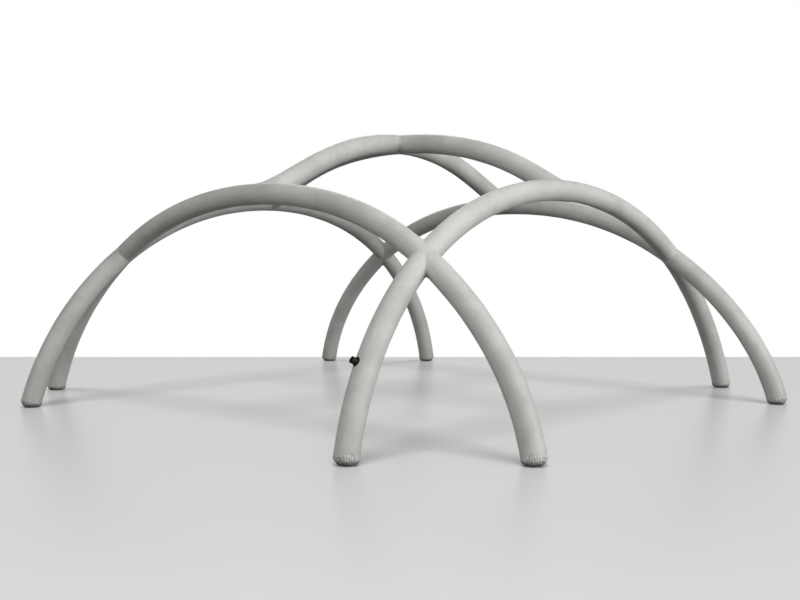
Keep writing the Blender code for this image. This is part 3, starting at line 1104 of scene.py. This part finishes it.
def seamRelief(tree, along, around, height, kind):
    # a felled seam with two rows of stitches, or one row round a foot's hem
    look = fabricLook
    if kind == "sleeve":
        beside = mathNode(tree, "WRAP", around, circumference / 2, -circumference / 2)
        beside = mathNode(tree, "ABSOLUTE", beside)
        half, edge = look["lapHalfWidth"], look["lapEdge"]
        lap = fadeNode(tree, beside, (half - edge, half + edge, look["lapRise"], 0))
        height = mathNode(tree, "ADD", height, lap)
        onSeam, fromRow = along, mathNode(tree, "SUBTRACT", beside, look["stitchRow"])
    else:
        onSeam, fromRow = around, mathNode(tree, "ADD", along, footCap["hemRow"])
    row = fadeNode(tree, mathNode(tree, "ABSOLUTE", fromRow), look["stitchWidth"])
    swing = mathNode(tree, "SINE", mathNode(tree, "MULTIPLY", onSeam, pi / look["stitchLength"]))
    shape = fadeNode(tree, mathNode(tree, "ABSOLUTE", swing), look["stitchShape"])
    stitch = mathNode(tree, "MULTIPLY", row, shape)
    return row, mathNode(tree, "MULTIPLY_ADD", stitch, look["stitchRise"], height)


def packingRelief(tree, solid, height):
    # soft handling marks from packing, and ripples finer than the mesh
    look = fabricLook
    bent = addNode(tree, "VectorMath", noiseNode(tree, solid, look["creaseNoise"]),
                   (look["creaseBend"],) * 3, solid, operation="MULTIPLY_ADD")
    cells = addNode(tree, "TexVoronoi", bent.outputs[0], None, look["creaseCells"],
                    feature="DISTANCE_TO_EDGE")
    crease = fadeNode(tree, cells.outputs["Distance"], look["creaseWidth"])
    depth = cloudNode(tree, solid, *look["creaseDepths"])
    height = mathNode(tree, "MULTIPLY_ADD", crease, depth, height)
    ripple = noiseNode(tree, solid, look["ripples"])
    return mathNode(tree, "MULTIPLY_ADD", ripple, look["rippleRise"], height)


def fabricColour(tree, solid, weave, row, kind):
    # cloudy tone, thread tone, paler thread in the stitches and dust towards the floor; on a foot,
    # painted shade in the folds, painted highlights on the crests, and painted contact shadow with
    # some dirt towards the floor
    look = fabricLook
    tone = cloudNode(tree, solid, *look["tones"])
    colour = mixColour(tree, tone, look["darker"], look["lighter"])
    thread = addNode(tree, "CombineColor", *[fadeNode(tree, weave, look["threadTone"])] * 3)
    colour = mixColour(tree, 1.0, colour, thread.outputs[0], "MULTIPLY")
    stitched = mathNode(tree, "MULTIPLY", row, look["stitchTone"][kind])
    colour = mixColour(tree, stitched, colour, look["lighter"])
    above = addNode(tree, "SeparateXYZ", solid).outputs[2]
    low = fadeNode(tree, above, look["dustHeight"])
    if kind == "foot":
        # painted shade in the folds and painted highlights on the crests, both set by the fold
        # depth
        folds = addNode(tree, "Attribute", attribute_name="foldDepth").outputs["Fac"]
        for fade, tint in (("paintedFoldShade", "shadeAndGrime"), ("paintedCrestHighlights", "paintedHighlight")):
            colour = mixColour(tree, fadeNode(tree, folds, look[fade]), colour, look[tint])
        low = mathNode(tree, "ADD", low, fadeNode(tree, above, look["footDustHeight"]))
    dust = mathNode(tree, "MULTIPLY", low, cloudNode(tree, solid, *look["dustGrain"]))
    colour = mixColour(tree, dust, colour, look["dust"])
    if kind == "foot":
        # painted contact shadow, with some dirt, darkening the foot towards the floor
        colour = mixColour(tree, fadeNode(tree, above, look["contactShadeAndGrimeHeight"]), colour, look["shadeAndGrime"])
    return colour, dust


def coatedFabric(name, kind):
    look = fabricLook
    material, tree = startMaterial(name)
    solid = addNode(tree, "TexCoord").outputs["Object"]
    flat = addNode(tree, "UVMap", uv_map="UVMap").outputs[0]
    along, around = addNode(tree, "SeparateXYZ", flat).outputs[:2]
    turnPerMetre = pi * look["threads"] / circumference  # a plain weave
    warp, weft = (mathNode(tree, "SINE", mathNode(tree, "MULTIPLY", way, turnPerMetre))
                  for way in (around, along))
    weave = mathNode(tree, "MULTIPLY", warp, weft)
    height = mathNode(tree, "MULTIPLY", weave, look["weaveDepth"])
    row, height = seamRelief(tree, along, around, height, kind)
    height = packingRelief(tree, solid, height)
    colour, dust = fabricColour(tree, solid, weave, row, kind)
    rough = cloudNode(tree, solid, *look["roughness"])
    rough = mathNode(tree, "MULTIPLY_ADD", dust, look["dustRoughness"], rough)
    finishShader(tree, {"Base Color": colour, "Roughness": rough, **look["uniform"]}, height)
    return material


plasticLook = {
    "darker": (0.006, 0.006, 0.0065), "lighter": (0.014, 0.0135, 0.013),
    "clouds": (60, 4, 0.6), "tones": (0.45, 0.75, 0, 1), "roughness": (0.35, 0.7, 0.36, 0.50),
    "grain": (1500, 2, 0.5), "grainRise": 0.00003,
    "specular": 0.17,
}


def mouldedPlastic(name):
    look = plasticLook
    material, tree = startMaterial(name)
    solid = addNode(tree, "TexCoord").outputs["Object"]
    cloud = noiseNode(tree, solid, look["clouds"])
    colour = mixColour(tree, fadeNode(tree, cloud, look["tones"]), look["darker"], look["lighter"])
    rough = fadeNode(tree, cloud, look["roughness"])
    height = mathNode(tree, "MULTIPLY", noiseNode(tree, solid, look["grain"]), look["grainRise"])
    finishShader(tree, {"Base Color": colour, "Roughness": rough,
                        "Specular IOR Level": look["specular"]}, height)
    return material


def plainMaterial(name, colour, roughness, glow=0.0, specular=0.5):
    material, tree = startMaterial(name)
    finishShader(tree, {"Base Color": (*colour, 1), "Roughness": roughness,
                        "Specular IOR Level": specular,
                        "Emission Color": (1, 1, 1, 1), "Emission Strength": glow})
    return material


def dress(piece, material):
    piece.data.materials.clear()
    piece.data.materials.append(material)


sleeveFabric = coatedFabric("coatedFabric", "sleeve")
footFabric = coatedFabric("coatedFabricFoot", "foot")
for node, sleeve in sleeves.items():
    dress(sleeve, footFabric if node.startswith("foot") else sleeveFabric)
plastic = mouldedPlastic("blackPlastic")
for part in valveParts.values():
    dress(part, plastic)
dress(floor, plainMaterial("paleFloor", *studio["floorFinish"]))
dress(bounceFloor, plainMaterial("dimFloor", *studio["bounceFinish"]))
dress(backdrop, plainMaterial("whiteBackdrop", *studio["backdropFinish"]))
print("finishes done")
